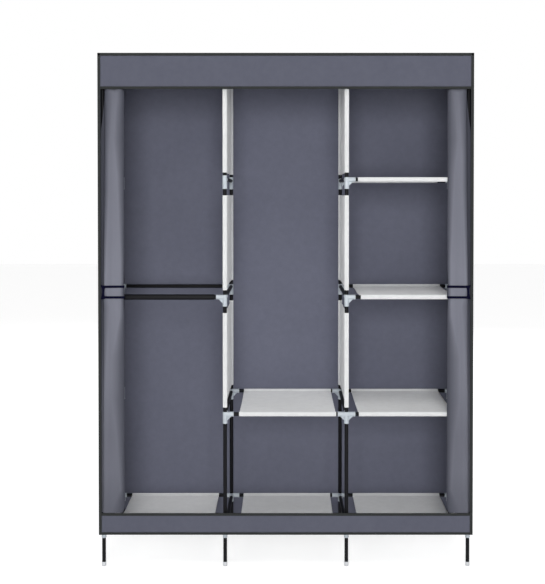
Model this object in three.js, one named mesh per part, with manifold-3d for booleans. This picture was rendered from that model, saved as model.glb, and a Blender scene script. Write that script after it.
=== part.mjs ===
// Portable fabric wardrobe: a slot-together frame of thin steel tubes and moulded connectors,
// with cloth shelves and partitions sleeved on the tubes, under a sewn cloth cover with two door
// curtains tied back at the sides.
// Millimetres, +Z up, front towards -Y. The origin is on the floor, under the middle of the cover.

import * as THREE from "three";
import { mergeVertices } from "three/addons/utils/BufferGeometryUtils.js";
import Module from "manifold-3d";

const wasm = await Module();
wasm.setup();

// Overall size of the dressed wardrobe
const coverWidth = 1270;
const coverDepth = 430;
const overallHeight = 1750;

// Clearances
const slipGap = 0.3; // round a tube in a socket, a bore or a cloth sleeve, and at a seated end
const seamGap = 0.3; // between cloth panels that are sewn edge to edge, and over the top hubs
const swingGap = 2; // between a door curtain and the valances it swings past
const cutOverrun = 1; // a cutting tool runs this far past the face it leaves by

// Frame tubes, as thin as such tubes are
const tubeDiameter = 13;
const tubeWall = 0.6;
const roundSides = 8; // flat faces round every tube, bore and sleeve, which all turn the same way

// Where the tubes stand: the outer uprights inside the cover, and the heights of the tiers
const sidePostInset = 12;
const frontPostInset = 25;
const backPostInset = 13;
const baseLevel = 121;
const tierPitch = 401;

// Foot cap moulded over the lower end of each upright
const footDiameter = 15;
const footHeight = 15;
const footChamfer = 1;
const footPlug = 6; // how far its plug stands up inside the tube

// Moulded connectors
const hubWall = 1.2;
const armReach = 30; // from the upright's axis to the mouth of an arm
const sleeveDrop = 32; // how far the sleeve reaches below the level of the tubes
const baseSleeveDrop = 21; // too short for webs in the corners
const plainRise = 14; // how far it reaches above them on a connector that takes no rails
const topCap = 2; // thickness over the tube ends on the top connectors
const gussetLeg = 13; // of the three-cornered web in each inside corner, past the round body
const webThickness = 2.4;
const rimThickness = 1.8; // of the flange along the web's slanting edge
const rimWidth = 6;

// Hanging rails: a wider tube, drawn down at both ends to enter the connectors
const hangerDiameter = 19;
const hangerNeck = 5; // length of the taper at each end
const hangerLip = 2; // space between an arm's mouth and the taper

// White cloth shelves and partitions
const sleeveWall = 0.8;
const sheetThickness = 1.2;
const shelfInset = 42; // from an upright's axis to the shelf's edge
const shelfSag = 4;
const partitionAbove = 17.5; // partition's lower edge above the tubes of its tier
const partitionBelow = 54; // its upper edge below the tubes of the next tier

// How far each shelf has been pushed along its rails towards +X, as a share of its inset
const slideShares = {
  base: { left: -0.15, middle: 0.1, right: 0.15 },
  low: { middle: 0.15, right: 0 },
  mid: { right: 0.15 },
  high: { right: -0.1 },
};

// Grey cloth cover
const clothThickness = 1.5;
const valanceTopHeight = 120;
const valanceBottomHeight = 72;
const coverBottom = 116;
const backBottom = 40; // the back hangs lower than the front and the sides

// Door curtains, gathered at the sides. Widths are across the bundle, from the side seam.
const curtainTopWidth = 79;
const curtainTieWidth = 84;
const curtainBottomWidth = 83;
const foldDepth = 4.5; // of the rounded pleats seen from the front
const backFoldDepth = 2;
const railToCurtain = 1.2; // behind the bundle and its tie-band
const foldCount = 4;
const pointsPerFold = 7;
const foldDriftShare = 0.35; // of a pleat, how far the pleats wander on their way down

// Tie-bands round the curtains
const tieHeight = 44;
const tieCentre = 942;
const tieThickness = 1.1;
const tieCornerShare = 0.2; // of the bundle's depth, cut off each corner of the band
const tieInset = 14; // from the cover's side to the band

// The side frames from left to right, and the bays between them
const frameNames = ["left", "midleft", "midright", "right"];
const bays = ["left", "middle", "right"];

// Derived sizes
const tubeRadius = tubeDiameter / 2;
const boreRadius = tubeRadius + slipGap;
const hubRadius = boreRadius + hubWall;
const sleeveRadius = boreRadius + sleeveWall;
const frontPostY = -coverDepth / 2 + frontPostInset;
const postSpan = coverDepth - frontPostInset - backPostInset;
const bayPitch = (coverWidth - 2 * sidePostInset) / bays.length;
const topLevel = overallHeight - clothThickness - seamGap - topCap - hubRadius;
const seatDepth = hubRadius; // a socket's floor, measured from the upright's axis
const railLength = bayPitch - 2 * (seatDepth + slipGap);
const panelTop = overallHeight - clothThickness - seamGap;

const frameX = frameNames.map((_, i) => (i - bays.length / 2) * bayPitch);

// What lies between the side frames at each level: a cloth shelf on two rails, a hanging rail in
// front of a plain one, or nothing
const tiers = [
  { name: "low", level: baseLevel + tierPitch, fit: { middle: "shelf", right: "shelf" } },
  { name: "mid", level: baseLevel + 2 * tierPitch, fit: { left: "hanger", right: "shelf" } },
  { name: "high", level: baseLevel + 3 * tierPitch, fit: { right: "shelf" } },
];

// Finishes, close to those of the real one
const finishes = {
  powderBlack: { color: 0x17181b, roughness: 0.38, metalness: 0.55 },
  whiteCloth: { color: 0xe8e9eb, roughness: 0.92, metalness: 0 },
  greyCloth: { color: 0x606270, roughness: 0.9, metalness: 0 },
  lightGreyCloth: { color: 0x7c7f8a, roughness: 0.9, metalness: 0 },
};

function named(name, geometry, finish) {
  const mesh = new THREE.Mesh(geometry, new THREE.MeshStandardMaterial(finishes[finish]));
  mesh.name = name;
  return mesh;
}

// A closed geometry as a solid that can be joined and cut
function solidOf(geometry) {
  const bare = geometry.clone();
  bare.deleteAttribute("normal");
  bare.deleteAttribute("uv");
  const merged = mergeVertices(bare);
  return new wasm.Manifold(
    new wasm.Mesh({
      numProp: 3,
      vertProperties: Float32Array.from(merged.attributes.position.array),
      triVerts: Uint32Array.from(merged.index.array),
    }),
  );
}

function geometryOf(solid) {
  const mesh = solid.getMesh();
  const geometry = new THREE.BufferGeometry();
  geometry.setAttribute("position", new THREE.BufferAttribute(mesh.vertProperties, 3));
  geometry.setIndex(new THREE.BufferAttribute(mesh.triVerts, 1));
  const faceted = geometry.toNonIndexed();
  faceted.computeVertexNormals();
  return faceted;
}

const joined = (solids) => solids.reduce((whole, next) => whole.add(next));

// A round bar between two points on a line along X, Y or Z
function bar(radius, from, to) {
  const axis = new THREE.Vector3().subVectors(to, from);
  const middle = new THREE.Vector3().addVectors(from, to).multiplyScalar(0.5);
  const turn = new THREE.Quaternion().setFromUnitVectors(
    new THREE.Vector3(0, 1, 0),
    axis.clone().normalize(),
  );
  const geometry = new THREE.CylinderGeometry(radius, radius, axis.length(), roundSides)
    .applyQuaternion(turn)
    .translate(middle.x, middle.y, middle.z);
  return solidOf(geometry);
}

const along = (origin, direction, distance) =>
  new THREE.Vector3().copy(origin).addScaledVector(direction, distance);

const unitX = new THREE.Vector3(1, 0, 0);
const unitY = new THREE.Vector3(0, 1, 0);
const unitZ = new THREE.Vector3(0, 0, 1);

// A plate drawn in the upright plane that an arm lies in, with its middle on that plane
function uprightPlate(points, thickness, centre, direction) {
  const outline = new THREE.Shape(points.map(([out, up]) => new THREE.Vector2(out, up)));
  const plate = new THREE.ExtrudeGeometry(outline, { depth: thickness, bevelEnabled: false })
    .translate(0, 0, -thickness / 2)
    .rotateX(Math.PI / 2)
    .rotateZ(Math.atan2(direction.y, direction.x))
    .translate(centre.x, centre.y, centre.z);
  return solidOf(plate);
}

// The gusset that stiffens the inside corner under an arm: a three-cornered web with a flange
// along its slanting edge, whose ends run into the walls of the arm and the sleeve
function gusset(centre, direction) {
  const corner = hubRadius + gussetLeg;
  const web = [[0, 0], [corner, 0], [corner, -hubRadius], [hubRadius, -corner], [0, -corner]];
  const bite = hubWall / 2;
  const lift = rimThickness * Math.SQRT2;
  const rim = [
    [corner + bite, bite - hubRadius],
    [corner + bite - lift, bite - hubRadius],
    [hubRadius - bite, -corner - bite + lift],
    [hubRadius - bite, -corner - bite],
  ];
  return uprightPlate(web, webThickness, centre, direction).add(
    uprightPlate(rim, rimWidth, centre, direction),
  );
}

// The outside of one connector: a sleeve on the upright, and an arm and a gusset for each tube.
// arms holds the unit vectors of its arms.
function connectorBody(centre, arms, drop, rise) {
  const sleeve = bar(hubRadius, along(centre, unitZ, -drop), along(centre, unitZ, rise));
  const parts = [sleeve];
  for (const arm of arms) {
    parts.push(bar(hubRadius, centre, along(centre, arm, armReach)));
    if (drop > hubRadius + gussetLeg) parts.push(gusset(centre, arm));
  }
  return joined(parts);
}

// The socket that a rail's end pushes into
const socket = (centre, arm) =>
  bar(boreRadius, along(centre, arm, seatDepth), along(centre, arm, armReach + cutOverrun));

// A tube that stays in its connectors: it is joined to them, and its bore opens into theirs
const fixedTube = (from, to) => bar(tubeRadius, from, to);
const fixedBore = (from, to) => bar(tubeRadius - tubeWall, from, to);

// Which way the rails leave side frame i, given the bays that have rails
const railArms = (i, fitted) => {
  const arms = [];
  if (i > 0 && fitted[bays[i - 1]]) arms.push(unitX.clone().negate());
  if (i < bays.length && fitted[bays[i]]) arms.push(unitX.clone());
  return arms;
};

// A cross rail joins the front and back uprights of a side frame: a tube with a moulded connector
// on each end, each with a bore for its upright and a socket for each rail
function crossRail(i, fitted) {
  const ends = [new THREE.Vector3(0, 0, 0), new THREE.Vector3(0, postSpan, 0)];
  const inward = [unitY.clone(), unitY.clone().negate()];
  const arms = railArms(i, fitted);
  const rise = arms.length ? hubRadius : plainRise;
  const outside = ends.map((end, k) =>
    connectorBody(end, [inward[k], ...arms], sleeveDrop, rise),
  );
  const bores = ends.map((end) =>
    bar(
      boreRadius,
      along(end, unitZ, -sleeveDrop - cutOverrun),
      along(end, unitZ, rise + cutOverrun),
    ),
  );
  const sockets = ends.flatMap((end) => arms.map((arm) => socket(end, arm)));
  return geometryOf(
    joined([...outside, fixedTube(...ends)]).subtract(
      joined([...bores, ...sockets, fixedBore(...ends)]),
    ),
  );
}

// A whole tier in one piece: the cross rails of all four side frames, joined by the rails that
// stay in their connectors. rise is how far its connectors reach above the tubes, and boreTop
// where their bores end.
function tierFrame({ drop, rise, boreTop, fixedFront }) {
  const fitted = { left: true, middle: true, right: true };
  const front = frameX.map((x) => new THREE.Vector3(x, 0, 0));
  const back = frameX.map((x) => new THREE.Vector3(x, postSpan, 0));
  const outside = [];
  const cuts = [];
  frameX.forEach((_, i) => {
    const arms = railArms(i, fitted);
    outside.push(connectorBody(front[i], [unitY, ...arms], drop, rise));
    outside.push(connectorBody(back[i], [unitY.clone().negate(), ...arms], drop, rise));
    outside.push(fixedTube(front[i], back[i]));
    cuts.push(fixedBore(front[i], back[i]));
    for (const end of [front[i], back[i]]) {
      cuts.push(
        bar(boreRadius, along(end, unitZ, -drop - cutOverrun), along(end, unitZ, boreTop)),
      );
    }
    if (!fixedFront) cuts.push(...arms.map((arm) => socket(front[i], arm)));
  });
  const fixedLines = fixedFront ? [front, back] : [back];
  for (const line of fixedLines) {
    outside.push(fixedTube(line[0], line[line.length - 1]));
    cuts.push(fixedBore(line[0], line[line.length - 1]));
  }
  return geometryOf(joined(outside).subtract(joined(cuts)));
}

const topFrame = () =>
  tierFrame({
    drop: sleeveDrop,
    rise: hubRadius + topCap,
    boreTop: hubRadius,
    fixedFront: false,
  });

const baseFrame = () =>
  tierFrame({
    drop: baseSleeveDrop,
    rise: hubRadius,
    boreTop: hubRadius + cutOverrun,
    fixedFront: true,
  });

// A profile of [radius, height] points, turned round the height's axis
const turned = (points) =>
  new THREE.LatheGeometry(
    points.map(([radius, height]) => new THREE.Vector2(radius, height)),
    roundSides,
  );

// An upright: a run of tubes from the foot cap up through the bores of five connectors
function upright() {
  const footRadius = footDiameter / 2;
  const bore = tubeRadius - tubeWall;
  const top = topLevel + hubRadius - slipGap;
  return turned([
    [0, 0],
    [footRadius - footChamfer, 0],
    [footRadius, footChamfer],
    [footRadius, footHeight],
    [tubeRadius, footHeight],
    [tubeRadius, top],
    [bore, top],
    [bore, footHeight + footPlug],
    [0, footHeight + footPlug],
  ]).rotateX(Math.PI / 2);
}

// A straight rail, open at both ends, lying along X from x = 0
function rail() {
  const bore = tubeRadius - tubeWall;
  return turned([
    [bore, 0],
    [tubeRadius, 0],
    [tubeRadius, railLength],
    [bore, railLength],
    [bore, 0],
  ]).rotateZ(-Math.PI / 2);
}

// A hanging rail: its wide run starts just past the arm's mouth
function hangingRail() {
  const wide = hangerDiameter / 2;
  const neckStart = armReach - seatDepth - slipGap + hangerLip;
  const stations = [
    [tubeRadius, 0],
    [tubeRadius, neckStart],
    [wide, neckStart + hangerNeck],
    [wide, railLength - neckStart - hangerNeck],
    [tubeRadius, railLength - neckStart],
    [tubeRadius, railLength],
  ];
  const inside = stations.map(([radius, x]) => [radius - tubeWall, x]).reverse();
  return turned([...stations, ...inside, stations[0]]).rotateZ(-Math.PI / 2);
}

// A piece of cloth with a sleeve along two of its edges, drawn end on: the first tube is at the
// origin and the second at (span, 0). height is that of the sheet's middle over the tubes, and
// sag how far it hangs down between them.
function sling(length, span, height, sag) {
  const reach = (level) => Math.asin(Math.min(1, level / sleeveRadius));
  const over = reach(height + sheetThickness / 2);
  const under = reach(height - sheetThickness / 2);
  const outline = new THREE.Shape();
  const turn = 2 * Math.PI;
  outline.absarc(0, 0, sleeveRadius, over, under + turn, false);
  outline.quadraticCurveTo(
    span / 2,
    height - sheetThickness / 2 - 2 * sag,
    span - sleeveRadius * Math.cos(under),
    height - sheetThickness / 2,
  );
  outline.absarc(span, 0, sleeveRadius, Math.PI - under, Math.PI - over + turn, false);
  outline.quadraticCurveTo(
    span / 2,
    height + sheetThickness / 2 - 2 * sag,
    sleeveRadius * Math.cos(over),
    height + sheetThickness / 2,
  );
  for (const centre of [0, span]) {
    const tunnel = new THREE.Path();
    tunnel.absarc(centre, 0, boreRadius, 0, turn, false);
    outline.holes.push(tunnel);
  }
  const curveSegments = roundSides / 2; // arcs get twice as many
  return new THREE.ExtrudeGeometry(outline, { depth: length, bevelEnabled: false, curveSegments });
}

// A shelf's sheet lies over its rails; its cloth runs along X
const shelfCloth = () =>
  sling(bayPitch - 2 * shelfInset, postSpan, sleeveRadius - sheetThickness / 2, shelfSag)
    .applyMatrix4(new THREE.Matrix4().makeBasis(unitY, unitZ, unitX));

// A partition's sheet runs from the middle of one sleeve to the middle of the other
const partitionCloth = (height) =>
  sling(height, postSpan, 0, 0)
    .applyMatrix4(new THREE.Matrix4().makeBasis(unitY, unitX.clone().negate(), unitZ));

// A closed skin through rings of points, each ring anticlockwise seen from above, lowest first
function lofted(rings) {
  const count = rings[0].length;
  const positions = rings.flat().flatMap((point) => point.toArray());
  const index = [];
  for (let k = 0; k + 1 < rings.length; k++) {
    for (let i = 0; i < count; i++) {
      const a = k * count + i;
      const b = k * count + ((i + 1) % count);
      index.push(a, b, b + count, a, b + count, a + count);
    }
  }
  for (const [k, facesDown] of [[0, true], [rings.length - 1, false]]) {
    const flat = rings[k].map((point) => new THREE.Vector2(point.x, point.y));
    for (const [a, b, c] of THREE.ShapeUtils.triangulateShape(flat, [])) {
      const face = facesDown ? [a, c, b] : [a, b, c];
      index.push(...face.map((corner) => corner + k * count));
    }
  }
  const geometry = new THREE.BufferGeometry();
  geometry.setAttribute("position", new THREE.Float32BufferAttribute(positions, 3));
  geometry.setIndex(index);
  const faceted = geometry.toNonIndexed();
  faceted.computeVertexNormals();
  return faceted;
}

// Where the curtains hang: between the plane of the cover's front and the front connectors, with
// room for the tie-band on both faces
const curtainFront = -coverDepth / 2 + tieThickness + slipGap;
const tieBack = frontPostY - Math.max(hubRadius, hangerDiameter / 2) - railToCurtain;
const curtainBack = tieBack - tieThickness - slipGap;
const curtainFoot = coverBottom + valanceBottomHeight + swingGap;
const curtainHead = overallHeight - valanceTopHeight - swingGap;
const seamX = coverWidth / 2 - clothThickness - slipGap;
const tieOuterX = coverWidth / 2 - tieInset;
const tiedX = tieOuterX - tieThickness - slipGap;
const tieCorner = tieCornerShare * (curtainBack - curtainFront);

// Stations up the curtain, in shares of its stretch below the tie and of that above it
const stationShares = [0, 0.3, 0.6, 0.85, 1];
const edgeThicknessShare = 0.35; // of the bundle's thickness that is left at its two edges
const edgeSharpness = 6; // how late the bundle thins towards its edges
const drawSharpness = 3; // how late it draws in on its way to the tie-band

// How far the bundle is drawn in at height z: 0 at the head and the foot, 1 in the tie-band
function drawnIn(z) {
  const gap = Math.max(0, Math.abs(z - tieCentre) - tieHeight / 2);
  const reach = (z > tieCentre ? curtainHead - tieCentre : tieCentre - curtainFoot) - tieHeight / 2;
  return (1 - Math.min(1, gap / reach)) ** drawSharpness;
}

// One ring of a curtain: across the pleats of the front from the seam, and back behind them
function curtainRing(z) {
  const drawn = drawnIn(z);
  const freeWidth = z > tieCentre ? curtainTopWidth : curtainBottomWidth;
  const outerX = THREE.MathUtils.lerp(seamX, tiedX, drawn);
  const width = THREE.MathUtils.lerp(freeWidth, curtainTieWidth - tieInset, drawn);
  const middle = (curtainFront + curtainBack) / 2;
  const drift = (foldDriftShare * (z - curtainFoot)) / (curtainHead - curtainFoot);
  const count = foldCount * pointsPerFold;
  const points = [];
  const face = (share, flat, depth, phase) => {
    const pleat = (1 - Math.cos(2 * Math.PI * (foldCount * share + drift + phase))) / 2;
    const thin = 1 - (1 - edgeThicknessShare) * Math.abs(2 * share - 1) ** edgeSharpness;
    const y = flat + Math.sign(middle - flat) * depth * pleat;
    points.push(
      new THREE.Vector3(-outerX + width * share, middle + (y - middle) * thin, z),
    );
  };
  for (let i = 0; i <= count; i++) face(i / count, curtainFront, foldDepth, 0);
  for (let i = count; i >= 0; i--) face(i / count, curtainBack, backFoldDepth, 1 / 2);
  return points;
}

// side is -1 for the left curtain and 1 for the right one, its mirror image
const mirrored = (ring, side) =>
  side < 0 ? ring : ring.map((point) => point.clone().setX(-point.x)).reverse();

function curtain(side) {
  const tieFoot = tieCentre - tieHeight / 2;
  const tieHead = tieCentre + tieHeight / 2;
  const heights = [
    ...stationShares.map((share) => THREE.MathUtils.lerp(curtainFoot, tieFoot, share)),
    ...stationShares.map((share) => THREE.MathUtils.lerp(curtainHead, tieHead, share)).reverse(),
  ];
  return lofted(heights.map((z) => mirrored(curtainRing(z), side)));
}

// A prism of the tie-band's height on a rectangle with cut corners
function bandPrism([x0, x1], [y0, y1], corner, height) {
  const outline = new THREE.Shape();
  outline.moveTo(x0 + corner, y0);
  outline.lineTo(x1 - corner, y0);
  outline.lineTo(x1, y0 + corner);
  outline.lineTo(x1, y1 - corner);
  outline.lineTo(x1 - corner, y1);
  outline.lineTo(x0 + corner, y1);
  outline.lineTo(x0, y1 - corner);
  outline.lineTo(x0, y0 + corner);
  return solidOf(new THREE.ExtrudeGeometry(outline, { depth: height, bevelEnabled: false }));
}

// A tie-band: a flat loop round the bundle, with a tab that is sewn into the side seam
function tieBand(side) {
  const frontY = -coverDepth / 2;
  const innerX = tiedX - (curtainTieWidth - tieInset) - slipGap - tieThickness;
  const span = (x0, x1) => [side * x0, side * x1].sort((a, b) => a - b);
  const t = tieThickness;
  const loop = bandPrism(span(innerX, tieOuterX), [frontY, tieBack], tieCorner, tieHeight);
  const window = bandPrism(
    span(innerX + t, tieOuterX - t),
    [frontY + t, tieBack - t],
    tieCorner,
    tieHeight + 2 * cutOverrun,
  ).translate(0, 0, -cutOverrun);
  const tabLength = seamX - (tieOuterX - tieCorner - t);
  const tab = solidOf(
    new THREE.BoxGeometry(tabLength, t, tieHeight).translate(
      side * (seamX - tabLength / 2),
      frontY + t / 2,
      tieHeight / 2,
    ),
  );
  return geometryOf(loop.subtract(window).add(tab));
}

// The frame
const frame = new THREE.Group();
for (const [row, y] of [["front", frontPostY], ["back", frontPostY + postSpan]]) {
  frameNames.forEach((name, i) => {
    const post = named("upright_" + row + "_" + name, upright(), "powderBlack");
    post.position.set(frameX[i], y, 0);
    frame.add(post);
  });
}

const base = named("base_frame", baseFrame(), "powderBlack");
base.position.set(0, frontPostY, baseLevel);
const top = named("top_frame", topFrame(), "powderBlack");
top.position.set(0, frontPostY, topLevel);
frame.add(base, top);

function addRail(name, geometry, bay, y, z) {
  const piece = named(name, geometry, "powderBlack");
  piece.position.set(frameX[bays.indexOf(bay)] + seatDepth + slipGap, y, z);
  frame.add(piece);
}

for (const { name, level, fit } of tiers) {
  frameNames.forEach((side, i) => {
    const cross = named("cross_rail_" + name + "_" + side, crossRail(i, fit), "powderBlack");
    cross.position.set(frameX[i], frontPostY, level);
    frame.add(cross);
  });
  for (const [bay, kind] of Object.entries(fit)) {
    const front = kind === "hanger" ? "hanging_rail_" : "front_rail_";
    const pole = kind === "hanger" ? hangingRail() : rail();
    addRail(front + name + "_" + bay, pole, bay, frontPostY, level);
    addRail("back_rail_" + name + "_" + bay, rail(), bay, frontPostY + postSpan, level);
  }
}
for (const bay of ["left", "middle"]) {
  addRail("hanging_rail_top_" + bay, hangingRail(), bay, frontPostY, topLevel);
}
addRail("front_rail_top_right", rail(), "right", frontPostY, topLevel);

// Cloth shelves and partitions
const whites = new THREE.Group();
function addShelf(name, bay, level) {
  const cloth = named("shelf_" + name + "_" + bay, shelfCloth(), "whiteCloth");
  const edge = shelfInset * (1 + slideShares[name][bay]);
  cloth.position.set(frameX[bays.indexOf(bay)] + edge, frontPostY, level);
  whites.add(cloth);
}
for (const bay of bays) addShelf("base", bay, baseLevel);
for (const { name, level, fit } of tiers) {
  for (const [bay, kind] of Object.entries(fit)) {
    if (kind === "shelf") addShelf(name, bay, level);
  }
}

const storeys = [...tiers.map((tier) => tier.level), topLevel];
for (const i of [1, 2]) {
  tiers.forEach(({ name, level }, k) => {
    const height = storeys[k + 1] - partitionBelow - (level + partitionAbove);
    const cloth = named(
      "partition_" + name + "_" + frameNames[i],
      partitionCloth(height),
      "whiteCloth",
    );
    cloth.position.set(frameX[i], frontPostY, level + partitionAbove);
    whites.add(cloth);
  });
}

// The cover's panels, sewn edge to edge
const cover = new THREE.Group();
function addPanel(name, [x0, x1], [y0, y1], [z0, z1]) {
  const panel = named(name, new THREE.BoxGeometry(x1 - x0, y1 - y0, z1 - z0), "greyCloth");
  panel.position.set((x0 + x1) / 2, (y0 + y1) / 2, (z0 + z1) / 2);
  cover.add(panel);
}
const halfWidth = coverWidth / 2;
const halfDepth = coverDepth / 2;
const insideX = halfWidth - clothThickness;
const backInside = halfDepth - clothThickness;
const acrossFront = [-insideX + seamGap, insideX - seamGap];
const frontCloth = [-halfDepth, -halfDepth + clothThickness];
addPanel(
  "cover_roof",
  [-halfWidth, halfWidth],
  [-halfDepth, halfDepth],
  [overallHeight - clothThickness, overallHeight],
);
addPanel(
  "cover_back",
  [-halfWidth, halfWidth],
  [backInside, halfDepth],
  [backBottom, panelTop],
);
for (const [name, xs] of [
  ["left", [-halfWidth, -insideX]],
  ["right", [insideX, halfWidth]],
]) {
  addPanel("cover_side_" + name, xs, [-halfDepth, backInside - seamGap], [coverBottom, panelTop]);
}
addPanel("valance_top", acrossFront, frontCloth, [overallHeight - valanceTopHeight, panelTop]);
addPanel(
  "valance_bottom",
  acrossFront,
  frontCloth,
  [coverBottom, coverBottom + valanceBottomHeight],
);

// The doors
const doors = new THREE.Group();
for (const [name, side] of [["left", -1], ["right", 1]]) {
  doors.add(named("curtain_" + name, curtain(side), "lightGreyCloth"));
  const tie = named("tie_" + name, tieBand(side), "lightGreyCloth");
  tie.position.z = tieCentre - tieHeight / 2;
  doors.add(tie);
}

const wardrobe = new THREE.Group();
wardrobe.add(frame, whites, cover, doors);

export default wardrobe;
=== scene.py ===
import math
from bisect import bisect_right

import bmesh
import bpy
from mathutils import Matrix, Vector, noise


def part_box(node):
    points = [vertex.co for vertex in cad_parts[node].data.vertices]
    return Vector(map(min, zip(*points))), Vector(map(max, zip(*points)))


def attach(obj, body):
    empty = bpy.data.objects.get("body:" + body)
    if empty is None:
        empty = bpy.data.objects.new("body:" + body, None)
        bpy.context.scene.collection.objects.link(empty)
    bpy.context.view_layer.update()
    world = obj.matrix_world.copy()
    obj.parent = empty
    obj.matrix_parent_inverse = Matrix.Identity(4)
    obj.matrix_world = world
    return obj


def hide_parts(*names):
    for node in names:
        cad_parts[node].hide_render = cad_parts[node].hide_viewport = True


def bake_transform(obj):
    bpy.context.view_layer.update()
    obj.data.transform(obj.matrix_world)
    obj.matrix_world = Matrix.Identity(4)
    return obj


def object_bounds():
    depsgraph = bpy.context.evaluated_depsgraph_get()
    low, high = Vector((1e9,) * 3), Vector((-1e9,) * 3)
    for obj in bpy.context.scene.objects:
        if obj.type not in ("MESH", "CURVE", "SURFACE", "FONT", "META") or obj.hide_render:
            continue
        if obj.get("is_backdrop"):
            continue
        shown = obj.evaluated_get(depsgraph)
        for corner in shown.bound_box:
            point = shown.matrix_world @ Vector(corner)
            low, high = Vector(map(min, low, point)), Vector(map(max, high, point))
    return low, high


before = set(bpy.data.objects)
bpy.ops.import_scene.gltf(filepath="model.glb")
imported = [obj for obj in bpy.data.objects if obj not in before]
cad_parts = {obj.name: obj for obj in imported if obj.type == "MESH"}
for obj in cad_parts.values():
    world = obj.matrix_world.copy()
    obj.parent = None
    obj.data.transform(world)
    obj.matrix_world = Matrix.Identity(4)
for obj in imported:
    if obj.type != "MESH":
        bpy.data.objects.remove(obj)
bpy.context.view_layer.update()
MM = 0.001
X, Y, Z = Vector((1, 0, 0)), Vector((0, 1, 0)), Vector((0, 0, 1))


# The camera. It stands about three and a half metres from the middle of the wardrobe, at the
# height of its top shelf and almost level. The lens is shifted down and to the left, as in the
# photograph, which keeps the uprights all but parallel.
EYE = (0.0, -3.497, 1.277)
DOWN = math.radians(1)

camera_data = bpy.data.cameras.new("camera")
camera_data.lens = 59.82
camera_data.shift_x = -0.0227
camera_data.shift_y = -0.14
camera = bpy.data.objects.new("camera", camera_data)
camera.location = EYE
camera.rotation_euler = (math.pi / 2 - DOWN, 0, 0)
bpy.context.collection.objects.link(camera)
bpy.context.scene.camera = camera
bpy.context.scene.view_settings.view_transform = "Standard"


# The studio: a pale floor, weak daylight from all round, a wide soft lamp behind the camera, one
# overhead for the shelves, and weaker ones at the sides and the back. Behind it all is plain white.
class Signal:
    """An output socket in a node tree. Sums written with it add Math nodes to that tree."""

    def __init__(self, tree, socket=None):
        self.tree, self.socket = tree, socket

    def node(self, kind, settings=(), inputs=(), output=0):
        """Adds a node: its settings first, then the values or signals of its sockets."""
        made = self.tree.nodes.new(kind)
        for name, value in dict(settings).items():
            if name == "stops":
                while len(made.color_ramp.elements) < len(value):
                    made.color_ramp.elements.new(1)
                for element, (place, colour) in zip(made.color_ramp.elements, value):
                    element.position, element.color = place, (*colour, 1)
            else:
                setattr(made, name, value)
        for key, value in dict(inputs).items():
            if isinstance(value, Signal):
                self.tree.links.new(value.socket, made.inputs[key])
            else:
                made.inputs[key].default_value = value
        return Signal(self.tree, made.outputs[output])

    def math(self, operation, *operands):
        return self.node("ShaderNodeMath", {"operation": operation}, enumerate(operands))

    def __add__(self, other):
        return self.math("ADD", self, other)

    def __sub__(self, other):
        return self.math("SUBTRACT", self, other)

    def __rsub__(self, other):
        return self.math("SUBTRACT", other, self)

    def __mul__(self, other):
        return self.math("MULTIPLY", self, other)

    __radd__, __rmul__ = __add__, __mul__


def seen_straight(tree):
    """1 for what the lens sees directly, in gloss or through glass, and 0 for light on things."""
    rays = [Signal(tree).node("ShaderNodeLightPath", output=name)
            for name in ("Is Camera Ray", "Is Glossy Ray", "Is Transmission Ray")]
    return rays[0].math("MAXIMUM", rays[0], rays[1].math("MAXIMUM", rays[1], rays[2]))


DAYLIGHT = 0.28
world = bpy.data.worlds.new("studio")
world.use_nodes = True
bpy.context.scene.world = world
background = world.node_tree.nodes["Background"]
background.inputs["Color"].default_value = (1, 1, 1, 1)
strength = seen_straight(world.node_tree) * (1 - DAYLIGHT) + DAYLIGHT
world.node_tree.links.new(strength.socket, background.inputs["Strength"])

FLOOR_REACH = 14
FLOOR_COLOUR = (0.78, 0.78, 0.78, 1)
FLOOR_ROUGHNESS = 0.9
FLOOR_LIFT = 0.68
floor_mesh = bpy.data.meshes.new("floor")
floor_mesh.from_pydata(
    [(x * FLOOR_REACH, y * FLOOR_REACH, 0) for x, y in ((-1, -1), (1, -1), (1, 1), (-1, 1))],
    [], [(0, 1, 2, 3)])
floor = bpy.data.objects.new("floor", floor_mesh)
bpy.context.collection.objects.link(floor)
floor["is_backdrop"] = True
floor_paint = bpy.data.materials.new("floor")
floor_paint.use_nodes = True
floor_tree = floor_paint.node_tree
floor_shader = floor_tree.nodes["Principled BSDF"]
floor_shader.inputs["Base Color"].default_value = FLOOR_COLOUR
floor_shader.inputs["Roughness"].default_value = FLOOR_ROUGHNESS
lift = Signal(floor_tree).node(
    "ShaderNodeEmission", {}, {"Strength": seen_straight(floor_tree) * FLOOR_LIFT})
lit = Signal(floor_tree, floor_shader.outputs[0])
floor_tree.links.new(lit.node("ShaderNodeAddShader", {}, {0: lit, 1: lift}).socket,
                     floor_tree.nodes["Material Output"].inputs["Surface"])
floor_mesh.materials.append(floor_paint)

LAMPS_AIM = Vector((0, 0, 0.9))
# name, where it stands, its width and height, its power
LAMPS = (
    ("front", (0.0, -5.6, 1.6), (2.0, 2.4), 156),
    ("high", (0.0, -3.5, 6.7), (2.6, 1.8), 60),
    ("left", (-4.6, -1.2, 2.2), (2.2, 2.2), 26),
    ("right", (4.6, -1.2, 2.2), (2.2, 2.2), 26),
    ("back", (0.8, 5.2, 2.4), (2.6, 2.2), 60),
)
for name, place, (width, height), power in LAMPS:
    lamp = bpy.data.lights.new(name + "_lamp", "AREA")
    lamp.shape = "RECTANGLE"
    lamp.size, lamp.size_y, lamp.energy = width, height, power
    stand = bpy.data.objects.new(name + "_lamp", lamp)
    stand.location = place
    stand.rotation_euler = (LAMPS_AIM - Vector(place)).to_track_quat("-Z", "Y").to_euler()
    bpy.context.collection.objects.link(stand)


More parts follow.
